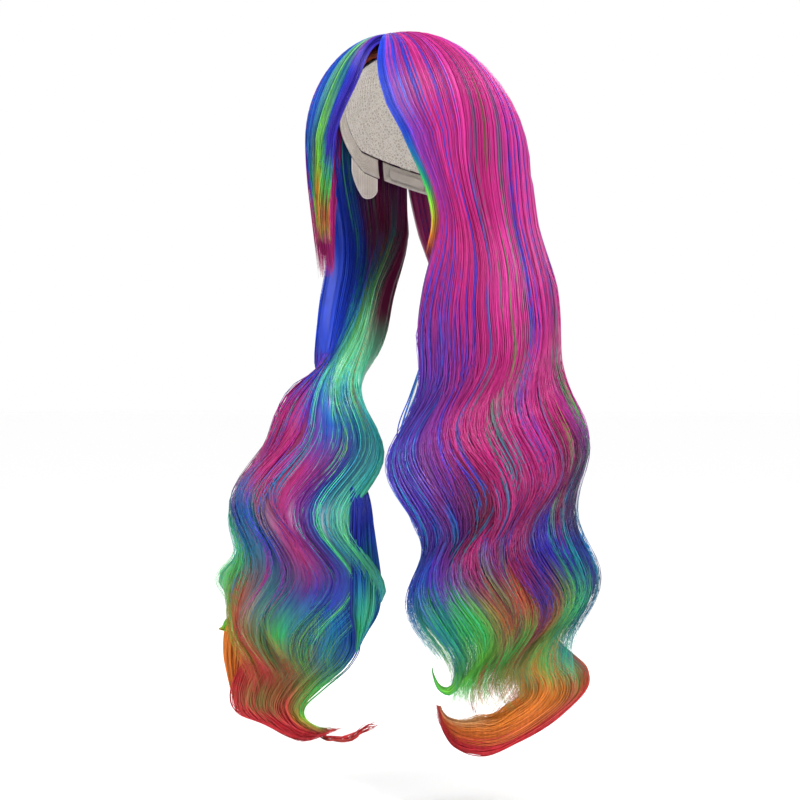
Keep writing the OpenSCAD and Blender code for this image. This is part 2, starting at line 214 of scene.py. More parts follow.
def cloth_material(name, colour, fine, deep, roughness=0.85):
    """Woven cloth: two crossed sets of threads in relief, uneven in tone."""
    mat, shader, tree = new_material(name, roughness)
    place = node(tree, "ShaderNodeTexCoord")
    weave = node(tree, "ShaderNodeMath", operation="MULTIPLY")
    for i, axis in enumerate("XZ"):
        wave = node(tree, "ShaderNodeTexWave", Scale=fine, Distortion=0.6, bands_direction=axis)
        link(place, "Object", wave, "Vector")
        link(wave, "Fac", weave, i)
    noise = node(tree, "ShaderNodeTexNoise", Scale=90.0, Detail=5.0)
    blend = node(tree, "ShaderNodeMath", operation="ADD")
    link(place, "Object", noise, "Vector")
    link(weave, 0, blend, 0)
    link(noise, "Fac", blend, 1)
    colour = np.array(colour)
    ramp = colour_ramp(blend, 0, colour * 0.78, colour * 1.1, (0.3, 1.0))
    link(ramp, "Color", shader, "Base Color")
    emboss(blend, 0, shader, deep, 0.0004)
    return mat


def net_material(name, colour):
    """Stretch net: small cells with raised, lighter threads between them."""
    mat, shader, tree = new_material(name, 0.9)
    place = node(tree, "ShaderNodeTexCoord")
    cells = node(tree, "ShaderNodeTexVoronoi", feature="DISTANCE_TO_EDGE", Scale=340.0)
    noise = node(tree, "ShaderNodeTexNoise", Scale=40.0, Detail=4.0)
    for texture in (cells, noise):
        link(place, "Object", texture, "Vector")
    colour = np.array(colour)
    ramp = colour_ramp(cells, "Distance", colour * 1.08, colour * (0.74, 0.7, 0.66), (0.06, 0.22))
    shaded(ramp, remap(noise, "Fac", 0.9, 1.08), shader)
    emboss(cells, "Distance", shader, 0.7, 0.0005, True)
    return mat


def hard_material(name, colour, roughness, metallic, grain):
    """Moulded plastic or brushed steel, with fine scratches and uneven gloss."""
    mat, shader, tree = new_material(name, roughness)
    shader.inputs["Metallic"].default_value = metallic
    noise = stretched_noise(tree, grain, 6.0)
    colour = np.array(colour)
    ramp = colour_ramp(noise, "Fac", colour * 0.7, colour * 1.25)
    gloss = remap(noise, "Fac", roughness - 0.1, roughness + 0.15)
    link(ramp, "Color", shader, "Base Color")
    link(gloss, "Result", shader, "Roughness")
    return mat


# ---- dyes
DYE_DEPTH = 0.78           # how far the dyes are darker than the colours named here


def linear(r, g, b):
    c = np.array([r, g, b]) / 255
    return DYE_DEPTH * np.where(c <= 0.04045, c / 12.92, ((c + 0.055) / 1.055) ** 2.4)


DYES = {
    "pink": linear(197, 50, 140), "magenta": linear(172, 32, 110), "wine": linear(108, 22, 64),
    "purple": linear(100, 48, 150), "violet": linear(56, 42, 176), "blue": linear(26, 62, 196),
    "navy": linear(20, 34, 140), "azure": linear(36, 110, 190), "teal": linear(20, 120, 130),
    "cyan": linear(60, 195, 180), "aqua": linear(90, 220, 165), "dusk": linear(18, 58, 92),
    "mint": linear(150, 232, 175), "green": linear(50, 180, 80), "lime": linear(130, 215, 60),
    "olive": linear(118, 118, 56), "orange": linear(228, 128, 44), "rust": linear(165, 72, 46),
    "red": linear(196, 40, 50), "peach": linear(246, 190, 130),
}


def dye_map(text):
    """Rows of 'height: dye dye ...' from top to bottom, with dyes evenly spaced across."""
    heights, colours = [], []
    for line in text.strip().splitlines():
        height, names = line.split(":")
        heights.append(float(height))
        colours.append([DYES[n] for n in names.split()])
    return np.array(heights), np.array(colours)


def dye_at(table, s, z):
    """The dye at s across and height z in millimetres, both arrays of one shape."""
    heights, colours = table
    row = np.interp(-z, -heights, np.arange(len(heights)))
    column = np.clip(s, 0, 1) * (colours.shape[1] - 1)
    r0 = np.clip(row.astype(int), 0, len(heights) - 2)
    c0 = np.clip(column.astype(int), 0, colours.shape[1] - 2)
    fr, fc = (row - r0)[..., None], (column - c0)[..., None]
    top = colours[r0, c0] * (1 - fc) + colours[r0, c0 + 1] * fc
    low = colours[r0 + 1, c0] * (1 - fc) + colours[r0 + 1, c0 + 1] * fc
    return top * (1 - fr) + low * fr


# From the front edge of the hair on the wearer's left to its outer edge
LEFT_DYES = dye_map("""
20: blue pink pink magenta pink pink pink
-100: blue magenta pink magenta pink pink pink
-170: magenta magenta magenta magenta pink pink pink
-250: purple magenta magenta pink pink magenta pink
-340: violet purple magenta magenta pink magenta magenta
-400: blue purple magenta magenta magenta magenta purple
-430: blue purple wine magenta magenta wine purple
-460: violet purple wine magenta magenta wine dusk
-505: navy violet wine magenta wine navy dusk
-535: navy navy purple wine navy violet dusk
-562: blue green green rust wine dusk dusk
-590: blue teal green rust rust green teal
-620: green teal lime green olive green cyan
-651: lime lime green green olive orange orange
-700: lime lime olive rust rust red red""")
LEFT_STREAKS = dye_map("""
20: violet blue purple wine violet purple wine
-250: blue purple violet olive violet purple purple
-350: azure violet purple olive purple wine green
-430: cyan blue violet teal purple olive teal
-500: azure blue teal purple purple teal azure
-550: violet teal navy olive navy teal teal
-585: teal azure green wine green teal azure
-640: lime teal green rust teal lime teal
-715: lime olive lime orange orange red red""")
# From the inner edge of the hair on the wearer's right, beside the neck, to its outer edge
RIGHT_DYES = dye_map("""
20: magenta blue magenta blue green blue blue
-180: wine wine wine wine blue blue blue
-230: wine teal azure blue blue blue blue
-275: wine mint aqua azure blue blue blue
-330: aqua mint aqua azure blue blue blue
-365: cyan aqua azure blue magenta magenta magenta
-401: cyan azure blue magenta magenta magenta purple
-440: cyan navy magenta magenta magenta teal mint
-484: aqua navy magenta teal blue teal mint
-530: aqua navy magenta navy teal green mint
-575: cyan blue navy teal rust green mint
-618: azure navy green olive red lime lime
-662: green green red red red red orange
-745: red red red red red red orange""")
RIGHT_STREAKS = dye_map("""
20: blue purple green lime teal olive purple
-200: wine rust wine teal blue green purple
-300: rust green lime cyan green navy purple
-400: azure lime cyan violet purple wine blue
-500: lime cyan navy blue olive cyan cyan
-560: cyan green navy magenta violet teal cyan
-620: blue lime navy green orange olive teal
-670: olive lime green red olive red orange
-745: red red orange red red red red""")
BACK_DYES = dye_map("""
20: magenta pink magenta purple magenta pink magenta
-250: magenta pink magenta pink purple pink magenta
-400: magenta purple pink magenta pink magenta purple
-480: purple magenta purple pink magenta purple blue
-550: blue purple blue navy purple blue navy
-600: teal blue teal green teal azure teal
-640: green lime green teal lime green green
-680: olive orange lime rust orange olive lime
-712: red orange red red orange red red""")
BACK_STREAKS = dye_map("""
20: blue purple wine blue purple wine blue
-300: blue purple wine olive purple blue wine
-500: teal blue azure purple teal wine green
-600: green azure lime teal olive cyan blue
-712: orange red rust orange red rust red""")
# From beside the parting's front end round to the temple
FRINGE_DYES = dye_map("""
20: violet magenta teal lime azure blue blue blue blue
-30: violet blue teal lime azure blue azure blue blue
-80: violet blue lime teal azure blue azure blue blue
-120: violet green lime olive teal azure blue blue blue
-150: green lime orange olive green teal blue blue blue
-175: wine orange olive orange lime green olive magenta magenta""")
SIDE_DYES = dye_map("""
20: pink magenta pink pink
-180: magenta pink magenta pink
-240: wine magenta magenta wine""")
FACE_EDGE_DYES = dye_map("""
20: blue blue blue
-95: blue blue violet
-125: teal azure magenta
-150: green teal magenta
-170: lime olive magenta
-205: orange rust magenta""")
ROOT_DYES = dye_map("""
20: red rust
-40: rust orange
-104: rust wine""")
# Dyes of the curled ends: percent of the way along, negative, and across the curl
LOOP_DYES = dye_map("""
0: azure teal cyan blue
-18: teal green green teal
-30: rust olive orange olive
-42: red rust orange orange
-60: red red orange orange
-80: red red orange peach
-100: red red red peach""")
MASS_DYES = dye_map("""
0: olive teal blue blue
-22: rust olive teal navy
-36: red rust olive green
-50: red olive red green
-62: red red red lime
-80: red red red olive
-100: red red red red""")
COLUMN_DYES = dye_map("""
0: green teal olive
-25: lime olive rust
-45: orange orange rust
-70: orange orange red
-100: orange red red""")
FLIP_DYES = dye_map("""
0: green green teal
-50: green lime olive
-85: lime lime orange
-100: orange orange orange""")
LENS_DYES = dye_map("""
0: navy navy blue navy
-30: blue navy navy navy
-50: azure teal blue navy
-70: azure aqua cyan navy
-86: azure cyan green navy
-100: blue azure green navy""")
HOOK_DYES = dye_map("""
0: teal green lime
-40: green lime green
-100: green green olive""")
INNER_DYES = dye_map("""
0: purple magenta violet
-25: azure green violet
-60: blue azure blue
-100: blue violet violet""")
FLICK_DYES = dye_map("""
0: red rust
-100: red red""")

# ---- paths of the hair, in mm
HEAD_W, HEAD_D, HEAD_H = 76.0, 96.0, 98.0      # half sizes of the head inside the cap
EQUATOR = -HEAD_H
HAIR_OFFSET = 7.6                              # from the head to the innermost hair
CROWN_RISE = 17.0
PARTING_X = 3.0
PARTING_FRONT, PARTING_BACK = -56.0, 44.0
PARTING_RISE, PARTING_FALL = 8.6, 9.0          # innermost hair there, and its fall to the ends
FRONT_T, SIDE_T = 10.0, 27.0                   # thickness of the hair in front and beside
BROW_FALL = 36.0                               # how far lower the outer hair turns down behind
DRIFT = 15.0                                   # how far hair beside the face falls backwards
WAVE_SIZE, WAVE_DEPTH, WAVE_LENGTH, WAVE_TIGHTEN = 16.0, 9.0, 175.0, 3.2e-6
WAVES_FROM = -270.0                            # height from which waves are counted
WAVES_TOP, WAVES_FULL = -220.0, -440.0         # heights where waves begin and are full size
HEAD_END, SHEET_START = -105.0, -255.0         # heights between which the sheets take over
LOCK_T = 15.0                                  # half thickness of a lock
# How far the face's edge is turned forwards on the way down over the head, in degrees
FACE_BEND = ((45, 59, 74, 90), (-11, -8, -3, 6))

# Rows of each hanging sheet, close to those of its CAD locks: x, y of its front edge, middle
# and outer edge, then z and thickness
LEFT_SHEET = (
    [78, -72, 116, -8, 106, 66, -185, 0.8],
    [72, -76, 124, -20, 116, 64, -250, 1.0],
    [64, -74, 136, -34, 128, 60, -320, 1.1],
    [56, -80, 142, -48, 144, 62, -390, 1.2],
    [54, -80, 148, -56, 154, 64, -460, 1.2],
    [69, -72, 148, -58, 160, 64, -530, 1.2],
    [74, -66, 146, -56, 166, 56, -600, 1.2],
    [92, -55, 138, -48, 154, 42, -665, 1.0],
    [92, -40, 124, -30, 138, 20, -715, 0.6])
RIGHT_SHEET = (
    [-58, 56, -98, 34, -94, -22, -185, 0.8],
    [-58, 20, -90, 6, -92, -34, -250, 0.9],
    [-58, -6, -92, -18, -106, -40, -320, 0.9],
    [-54, -12, -112, -62, -156, -42, -390, 1.1],
    [-52, -22, -132, -78, -181, -44, -460, 1.2],
    [-46, -24, -134, -84, -202, -54, -530, 1.2],
    [-45, -25, -133, -84, -213, -67, -560, 1.2],
    [-44, -26, -132, -84, -193, -52, -600, 1.1],
    [-82, -42, -142, -78, -206, -60, -665, 0.9],
    [-120, -50, -150, -68, -184, -58, -715, 0.5])
BACK_SHEET = (
    [84, 94, 4, 128, -68, 98, -185, 0.6],
    [84, 94, 12, 118, -52, 96, -250, 0.8],
    [84, 96, 20, 116, -38, 94, -320, 0.9],
    [84, 96, 26, 116, -30, 92, -390, 0.9],
    [86, 96, 28, 116, -28, 92, -460, 0.9],
    [86, 96, 30, 116, -26, 92, -530, 0.9],
    [86, 96, 32, 116, -22, 92, -600, 0.8],
    [80, 98, 34, 114, -10, 94, -665, 0.6],
    [60, 102, 36, 110, 12, 98, -712, 0.3])


OVER, DOWN = 12, 46        # rings of a strand over the head and below it


def ease(t):
    c = np.clip(t, 0, 1)
    return c * c * (3 - 2 * c)


def mix(a, b, t):
    return a + (b - a) * t


def smooth_curve(points, samples):
    """A Catmull-Rom curve through points, sampled evenly in its parameter."""
    points = np.asarray(points, float)
    last = len(points) - 1
    u = np.linspace(0, last - 1e-6, samples)
    i = u.astype(int)
    f = (u - i)[:, None]
    a, b = points[np.maximum(i - 1, 0)], points[i]
    c, d = points[i + 1], points[np.minimum(i + 2, last)]
    return 0.5 * (2 * b + (c - a) * f + (2 * a - 5 * b + 4 * c - d) * f ** 2
                  + (3 * b - a - 3 * c + d) * f ** 3)


def head_point(a, v, k):
    """Hair over the head: a is the signed angle round from the forehead, v goes from the
    parting, 0, to beside the head, 90, and k from the inner to the outer face of the hair."""
    side, b = np.sign(a), np.abs(a)
    b, side = np.where(b > 180, 360 - b, b), np.where(b > 180, -side, side)
    front = np.where(side < 0, 18, 25)
    reach = np.where(side < 0, 34, 60)
    thickness = mix(FRONT_T, SIDE_T, ease((b - front) / reach))
    off = HAIR_OFFSET + thickness * k
    y = mix(PARTING_FRONT, PARTING_BACK, ease((b - 20) / 160))
    top = mix(PARTING_RISE, CROWN_RISE, k) - PARTING_FALL * ((y + 5) / 55) ** 2
    brow = EQUATOR - BROW_FALL * k * ease((b - 60) / 80)
    rad, vr = np.radians(b), np.radians(v)
    out = np.sin(vr) ** (1 + 0.3 * k * ease((b - 60) / 80))
    x = mix(0.6 * side + PARTING_X, side * (HEAD_W + off) * np.sin(rad), out)
    y = mix(y, -(HEAD_D + off) * np.cos(rad), out)
    return x, y, mix(top, brow, 1 - np.cos(vr)), brow


def hang_point(a, z, k):
    """Hair that hangs below the head's curve, before the sheets take over."""
    _, _, _, brow = head_point(a, 90, k)
    drop = np.maximum(0, brow - z)
    b = np.abs(a)
    drift = DRIFT * drop / 60 * (1 - ease((b - 30) / 40))
    x, y, _, _ = head_point(a + np.sign(a) * drift, 90, k)
    pull = 1 - 0.1 * (drop / 100) ** 2
    return x * pull, y * pull


class Sheet:
    """One hanging sheet of hair and the angles on the crown that its hair comes from. sweep
    turns its front edge round the face, early moves its waves up, and short lifts the tips at
    its outer edge, in mm."""

    def __init__(self, rows, angle0, angle1, dyes, streaks, sweep=0.0, early=0.0, short=0.0):
        self.curve = smooth_curve(rows, 400)
        self.angles = (angle0, angle1)
        self.dyes, self.streaks = dyes, streaks
        self.sweep, self.early, self.short = sweep, early, short

    def wave(self, s, z, phase):
        """How far round its wave a strand is at height z, in radians."""
        h = WAVES_FROM - z
        turns = h / WAVE_LENGTH + WAVE_TIGHTEN * h * h
        return 2 * np.pi * turns + np.pi * s + phase + self.early

    def point(self, s, d, z, phase, swing):
        """s across the sheet, d through it, at height z; phase and swing vary the wave."""
        px, py, mx, my, qx, qy, _, thick = [np.interp(-z, -self.curve[:, 6], column)
                                            for column in self.curve.T]
        cx, cy = 2 * mx - (px + qx) / 2, 2 * my - (py + qy) / 2
        x = (1 - s) ** 2 * px + 2 * s * (1 - s) * cx + s * s * qx
        y = (1 - s) ** 2 * py + 2 * s * (1 - s) * cy + s * s * qy
        ux = (1 - s) * (cx - px) + s * (qx - cx)
        uy = (1 - s) * (cy - py) + s * (qy - cy)
        size = np.hypot(ux, uy)
        ux, uy = ux / size, uy / size
        angle = self.wave(s, z, phase)
        grow = ease((WAVES_TOP - z) / (WAVES_TOP - WAVES_FULL)) * swing
        side = -WAVE_SIZE * grow * np.cos(angle)
        deep = WAVE_DEPTH * grow * np.sin(angle) + d * LOCK_T * thick
        return x + ux * side + uy * deep, y + uy * side - ux * deep

    def paths(self, s, d, tips, phase, swing, down=DOWN):
        """Strands from the parting to their tips. s and d are (strands, OVER + down)."""
        k = (d[:, :OVER] + 1) / 2
        v = np.linspace(3, 90, OVER)[None, :]
        bend = np.concatenate([np.interp(v, *FACE_BEND), np.full((1, down), FACE_BEND[1][-1])], 1)
        a = mix(*self.angles, s) + self.sweep * bend * (1 - ease(s / 0.45))
        x0, y0, z0, _ = head_point(a[:, :OVER], v, k)
        brow = z0[:, -1:]
        fall = np.linspace(0, 1, down + 1)[None, 1:]
        z1 = mix(brow, tips[:, None], fall)
        x1, y1 = hang_point(a[:, OVER:], z1, (d[:, OVER:] + 1) / 2)
        x2, y2 = self.point(s[:, OVER:], d[:, OVER:], z1, phase[:, None], swing[:, None])
        w = ease((HEAD_END - z1) / (HEAD_END - SHEET_START))
        x = np.concatenate([x0, mix(x1, x2, w)], 1)
        y = np.concatenate([y0, mix(y1, y2, w)], 1)
        return np.stack([x, y, np.concatenate([z0, z1], 1)], 2)


LEFT = Sheet(LEFT_SHEET, 33, 128, LEFT_DYES, LEFT_STREAKS, 1.0, 0.3)
RIGHT = Sheet(RIGHT_SHEET, -128, -60, RIGHT_DYES, RIGHT_STREAKS, short=72.0)
BACK = Sheet(BACK_SHEET, 128, 232, BACK_DYES, BACK_STREAKS)


# ---- meshes of hair
class Tresses:
    """Collects strands and cores, and turns them into one mesh with its dyes."""

    def __init__(self):
        self.points, self.faces, self.dyes, self.count = [], [], [], 0

    def add_grid(self, rings, dyes):
        """rings is (pieces, rings, sides, 3) in mm: each piece is a closed tube of rings."""
        n, k, m = rings.shape[:3]
        index = self.count + np.arange(n * k * m).reshape(n, k, m)
        nxt = np.roll(index, -1, axis=2)
        quads = np.stack([index[:, :-1], nxt[:, :-1], nxt[:, 1:], index[:, 1:]], -1)
        self.faces.append(quads.reshape(-1, 4))
        for end, turn in ((0, -1), (-1, 1)):
            ring = index[:, end, ::turn]
            if m <= 4:
                self.faces.append(ring)
                continue
            for i in range(m // 2 - 1):
                self.faces.append(ring[:, [i, i + 1, m - 2 - i, m - 1 - i]])
        self.points.append(rings.reshape(-1, 3) * MM)
        self.dyes.append(np.broadcast_to(dyes, rings.shape).reshape(-1, 3))
        self.count += n * k * m

    def add_strands(self, paths, radius, dyes, sides=3):
        """Tubes along paths (n, k, 3), with a radius (n, k) and dyes (n, k, 3)."""
        along = np.gradient(paths, axis=1)
        along /= np.linalg.norm(along, axis=2, keepdims=True) + 1e-9
        across = np.cross(along, paths * (1, 1, 0) + (0.01, 0, 0))
        across /= np.linalg.norm(across, axis=2, keepdims=True) + 1e-9
        up = np.cross(across, along)
        turn = 2 * np.pi * np.arange(sides) / sides
        rings = (paths[:, :, None] + radius[:, :, None, None]
                 * (across[:, :, None] * np.cos(turn)[:, None]
                    + up[:, :, None] * np.sin(turn)[:, None]))
        self.add_grid(rings, dyes[:, :, None])

    def make(self, name, material):
        points = np.concatenate(self.points).astype(np.float32)
        dyes = np.concatenate(self.dyes).astype(np.float32)
        sizes = np.concatenate([np.full(len(f), f.shape[1]) for f in self.faces])
        corners = np.concatenate([f.reshape(-1) for f in self.faces])
        mesh = bpy.data.meshes.new(name)
        mesh.vertices.add(len(points))
        mesh.vertices.foreach_set("co", points.reshape(-1))
        mesh.loops.add(len(corners))
        mesh.loops.foreach_set("vertex_index", corners.astype(np.int32))
        mesh.polygons.add(len(sizes))
        mesh.polygons.foreach_set("loop_start", np.concatenate([[0], np.cumsum(sizes)[:-1]]))
        mesh.polygons.foreach_set("use_smooth", np.ones(len(sizes), bool))
        mesh.update(calc_edges=True)
        colour = mesh.color_attributes.new("dye", "FLOAT_COLOR", "POINT")
        rgba = np.concatenate([dyes, np.ones((len(dyes), 1), np.float32)], 1)
        colour.data.foreach_set("color", rgba.reshape(-1))
        mesh.materials.append(material)
        return add_object(name, mesh)


def strand_radius(n, k, thick, rng, fade=0.2):
    """Radius along a strand in mm, tapering over its last part."""
    f = np.linspace(0, 1, k)[None, :]
    taper = 1 - 0.8 * ease((f - 1 + fade) / fade)
    return thick * rng.uniform(0.75, 1.25, (n, 1)) * taper


STRAND = 0.31              # radius of a visible strand, a few fibres thick, in mm
WISPS = 6                  # wisps in a layer of one lock
WISP_OVERLAP = 1.25        # a wisp's reach beside its share of the lock
LOOSE_SHARE, LOOSE_REACH = 0.03, 1.6
SHEET_MARGIN = 0.02        # strands stay this far inside a sheet's edges
# Layers of wisps through a sheet: depth, spread through it, strands in a wisp
LAYERS = ((-0.7, 0.4, 14), (0.0, 0.5, 20), (0.46, 0.26, 44), (0.82, 0.2, 50))
# The core's dyes are darkened to a share of their colour, as painted shade inside the lock
CORE_SIDES, CORE_DEPTH, CORE_PAINTED_SHADE, CORE_BOXY = 64, 0.76, 0.62, 0.45
ALONG = np.concatenate([np.zeros(OVER), np.linspace(0, 1, DOWN)])[None, :]


class Streaks:
    """Soft streaks of the second dye, which come and go along the hair."""

    def __init__(self, rng):
        self.waves = [(rng.uniform(-1, 1) * k, rng.uniform(0.3, 1.6), rng.uniform(0, 6.3))
                      for k in (17, 29, 43, 61, 90, 130)]

    def at(self, s, z):
        total = sum(np.sin(2 * np.pi * (ks * s + kz * z / 420) + p) for ks, kz, p in self.waves)
        return total / 1.7


def wisps(tress, sheet, rng, layer, s0, s1, tip_range, field):
    """One layer of wisps over part of a sheet. Strands of a wisp wave and curl together."""
    depth, spread, strands = layer
    n, strands = WISPS, max(3, int(strands * DETAIL))

    # Each wisp's middle, wave, tip and colours. Wisps at a sheet's edges keep to its own wave
    centre = s0 + (s1 - s0) * (np.arange(n) + rng.uniform(0.35, 0.65, n)) / n
    deep = depth + rng.uniform(-0.12, 0.12, n)
    inside = 1 - np.abs(2 * centre - 1) ** 3
    phase, swing = rng.normal(0, 0.28, n) * inside, 1 + rng.uniform(-0.22, 0.28, n) * inside
    tip = rng.uniform(*tip_range, n) + sheet.short * ease((centre - 0.74) / 0.14)
    streak, tone = rng.normal(0, 0.2, n), rng.uniform(0.92, 1.08, n)
    shift_z, shift_s = rng.normal(0, 16, n), rng.normal(0, 0.02, n)
    turns, pinch = rng.uniform(-0.3, 0.3, n), rng.uniform(0.72, 0.98, n)
    roam, roam_by, roam_at = rng.uniform(0, 0.03, n), rng.uniform(0.8, 2.2, n), rng.uniform(0, 6.3, n)

    # Each strand's place in its wisp, which twists and tightens on its way down
    w = np.repeat(np.arange(n), strands)
    m = len(w)
    around, reach = rng.uniform(0, 2 * np.pi, m), np.sqrt(rng.random(m))
    tighten = mix(1.0, pinch[w][:, None], ease((ALONG - 0.45) / 0.55))
    spin = around[:, None] + 2 * np.pi * turns[w][:, None] * ALONG
    loose = np.where(rng.random(m) < LOOSE_SHARE, LOOSE_REACH, 1.0)
    out = (reach * loose)[:, None] * tighten
    s = centre[w][:, None] + out * np.cos(spin) * WISP_OVERLAP * (s1 - s0) / n
    sway = np.sin(6.28 * roam_by[w][:, None] * ALONG + roam_at[w][:, None])
    s = s + ease((ALONG - 0.1) / 0.3) * (roam[w][:, None] * sway)
    d = np.clip(deep[w][:, None] + out * np.sin(spin) * spread, -1, 1.08)

    # Strands that would leave the lock are turned back into it
    left, right = max(SHEET_MARGIN, s0 - 0.03), min(1 - SHEET_MARGIN, s1 + 0.03)
    s = left + np.abs(s - left)
    s = right - np.abs(right - s)
    paths = sheet.paths(s, d, tip[w] + rng.uniform(-16, 16, m),
                        phase[w] + rng.normal(0, 0.05, m), swing[w])

    # Dyes, with streaks of the second dye, and painted light and shade: lighter on the crests of the
    # waves and darker in their hollows
    z = paths[:, :, 2] + (rng.normal(0, 7, m) + shift_z[w])[:, None]
    across = s + (rng.normal(0, 0.015, m) + shift_s[w])[:, None]
    main, other = dye_at(sheet.dyes, across, z), dye_at(sheet.streaks, across, z)
    odd = field.at(s, z) + (streak[w] + rng.normal(0, 0.15, m))[:, None]
    odd = ease((odd - 0.55) / 0.5)[..., None]
    wave = np.sin(sheet.wave(s, paths[:, :, 2], phase[w][:, None]))
    # painted highlight on the wave crests and painted shade in their hollows, following the wave's
    # turn
    painted_crest_light = 1 + 0.2 * wave * ease((-250 - z) / 150)
    dyes = mix(main, other, odd) * (tone[w] * rng.uniform(0.88, 1.12, m))[:, None, None]
    tress.add_strands(paths, strand_radius(m, OVER + DOWN, STRAND, rng), dyes * painted_crest_light[..., None])


def core(tress, sheet, rng, s0, s1, tip):
    """The dense inside of a lock: a ridged closed form just under its strands, darkened as painted
    shade.
    """
    turn = 2 * np.pi * np.arange(CORE_SIDES) / CORE_SIDES
    ridge = 1 + 0.08 * rng.normal(0, 1, CORE_SIDES)
    slim = 1 - 0.6 * ease((ALONG - 0.88) / 0.12)
    wide, deep = [np.sign(v) * np.abs(v) ** CORE_BOXY for v in (np.cos(turn), np.sin(turn))]
    s = (s0 + s1) / 2 + (s1 - s0) / 2 * wide[:, None] * slim
    d = CORE_DEPTH * (deep * ridge)[:, None] * slim
    paths = sheet.paths(s, d, np.full(CORE_SIDES, tip), np.zeros(CORE_SIDES), np.ones(CORE_SIDES))
    # darker dyes as painted shade inside the lock, with random tone between its sides
    shade = CORE_PAINTED_SHADE * rng.uniform(0.75, 1.25, (CORE_SIDES, 1, 1))
    dyes = dye_at(sheet.dyes, s, paths[:, :, 2]) * shade
    tress.add_grid(paths.transpose(1, 0, 2)[None], dyes.transpose(1, 0, 2)[None])


# The way that the curled ends face
OUTWARD = np.array([0.64, -0.77, 0])
FAN_GROUP = 10             # strands of a fan that keep together
FAN_OUT = 0.36             # share of a fan's length on which it comes out of its lock
FAN_SUNK, BACKING_SUNK = 12, 13
BACKING_LIFTS = (1.6, 3.4)


def guide_points(curves, q, t):
    """Points at q across a stack of guide curves, 0 to 1, and t along them."""
    last = curves.shape[1] - 1
    across = q * (len(curves) - 1)
    i = np.minimum(across.astype(int), len(curves) - 2)
    f = (across - i)[..., None]
    at = t * last
    j = np.minimum(at.astype(int), last - 1)
    g = (at - j)[..., None]
    i = np.broadcast_to(i, j.shape)

    def along(k):
        return curves[k, j] * (1 - g) + curves[k, j + 1] * g

    return along(i) * (1 - f) + along(i + 1) * f


def fan(tress, rng, guides, dyes, count, thick, depth, skew=1.0, ends=(0.85, 1.0), samples=44,
        wobble=1.0, backing=True, close=0.5, root=1.0):
    """Strands between guide curves, which run from inside a lock to the curl's tip. They start
    sunk in the lock and come out of it on their way, in small groups. root is the fan's width
    at its start, and close is where across it the strands close up at its end."""
    curves = np.stack([smooth_curve(g, 200) for g in guides])
    groups = count // FAN_GROUP + 1
    group = np.arange(count) // FAN_GROUP
    q = np.clip(((np.arange(groups) + rng.random(groups)) / groups)[group]
                + rng.normal(0, 0.03, count), 0, 1) ** skew

    def paths_at(q, t):
        q = 0.5 + (q - 0.5) * mix(root, 1, ease(t / 0.24))
        return guide_points(curves, close + (q - close) * (1 - 0.75 * ease((t - 0.7) / 0.3)), t)

    end = rng.uniform(*ends, groups)[group] * rng.uniform(0.95, 1.0, count)
    t = np.linspace(0, 1, samples)[None, :] * end[:, None]
    paths = paths_at(q[:, None], t)
    sunk = FAN_SUNK * (1 - ease(t / FAN_OUT))
    level = rng.uniform(-0.3, 1, groups)[group] + rng.normal(0, 0.15, count)
    level = level - 0.9 * np.abs(2 * q - 1) ** 4
    paths = paths + OUTWARD * (level[:, None] * depth * ease(t / 0.4) - sunk)[..., None]
    turn = rng.uniform(0, 2 * np.pi, (groups, 3))[group] + rng.normal(0, 0.2, (count, 3))
    sway = np.stack([np.sin(2 * np.pi * t * k + turn[:, k - 1:k]) for k in (1, 2, 3)], 2)
    streak = rng.normal(0, 0.05, groups)[group][:, None]
    colours = dye_at(dyes, q[:, None] + streak, -100 * t + rng.normal(0, 4, (count, 1)))
    colours = colours * rng.uniform(0.85, 1.15, (count, 1, 1))
    radius = strand_radius(count, samples, thick, rng, 0.4)
    tress.add_strands(paths + sway * wobble, radius, colours)
    if backing:
        add_backing(tress, paths_at, dyes, depth, max(ends) - 0.03, samples)


def add_backing(tress, paths_at, dyes, depth, end, samples):
    """An opaque sheet under the strands of a fan, rounded down at its sides, with its dyes darkened
    as painted shade.
    """
    q = np.linspace(0.04, 0.96, 14)
    t = np.linspace(0, end, samples)[:, None] + 0 * q
    face = paths_at(q + 0 * t, t)
    # the backing's dyes are darkened as painted shade under the strands
    dye = dye_at(dyes, q + 0 * t, -100 * t) * 0.75
    inner = 0.5 * depth * (1 - 2 * np.abs(2 * q - 1) ** 3) - BACKING_SUNK * (1 - ease(t / FAN_OUT))
    upper, lower = [face + OUTWARD * (inner - lift)[..., None] for lift in BACKING_LIFTS]
    rings = np.concatenate([upper, lower[:, ::-1]], 1)
    tress.add_grid(rings[None], np.concatenate([dye, dye[:, ::-1]], 1)[None])


def over_head(rng, count, a0, a1, goal, tips, gather, start):
    """Strands from the parting over the head between two angles. From start on the way down
    they gather towards the angle goal."""
    a = rng.uniform(a0, a1, count)
    k = rng.uniform(0, 1, count)
    v = np.linspace(3, 90, OVER + 6)[None, :]
    angle = mix(a[:, None], goal, gather * ease((v - start) / 60) * 0.6)
    x0, y0, z0, _ = head_point(angle, v, k[:, None])
    fall = np.linspace(0, 1, FRINGE_RINGS + 1)[None, 1:]
    z1 = mix(z0[:, -1:], rng.uniform(*tips, count)[:, None], fall)
    angle = mix(angle[:, -1:], goal + (angle[:, -1:] - goal) * 0.25, gather * ease(fall))
    x1, y1, _, _ = head_point(angle, 90, mix(k[:, None], 0.5, 0.4 * ease(fall)))
    pull = 1 - 0.06 * fall ** 2
    x, y = np.concatenate([x0, x1 * pull], 1), np.concatenate([y0, y1 * pull], 1)
    return a, np.stack([x, y, np.concatenate([z0, z1], 1)], 2)


# ---- pieces of hair
FIBRE = fibre_material("hair_fibre")
DETAIL = 1.0
FRINGE_RINGS, EDGE_RINGS = 22, 20


def finish_hair(tress, name, nodes, body, falls=False):
    piece = tress.make(name, FIBRE)
    if falls:
        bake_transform(piece)
    else:
        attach(piece, body)
    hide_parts(*nodes)


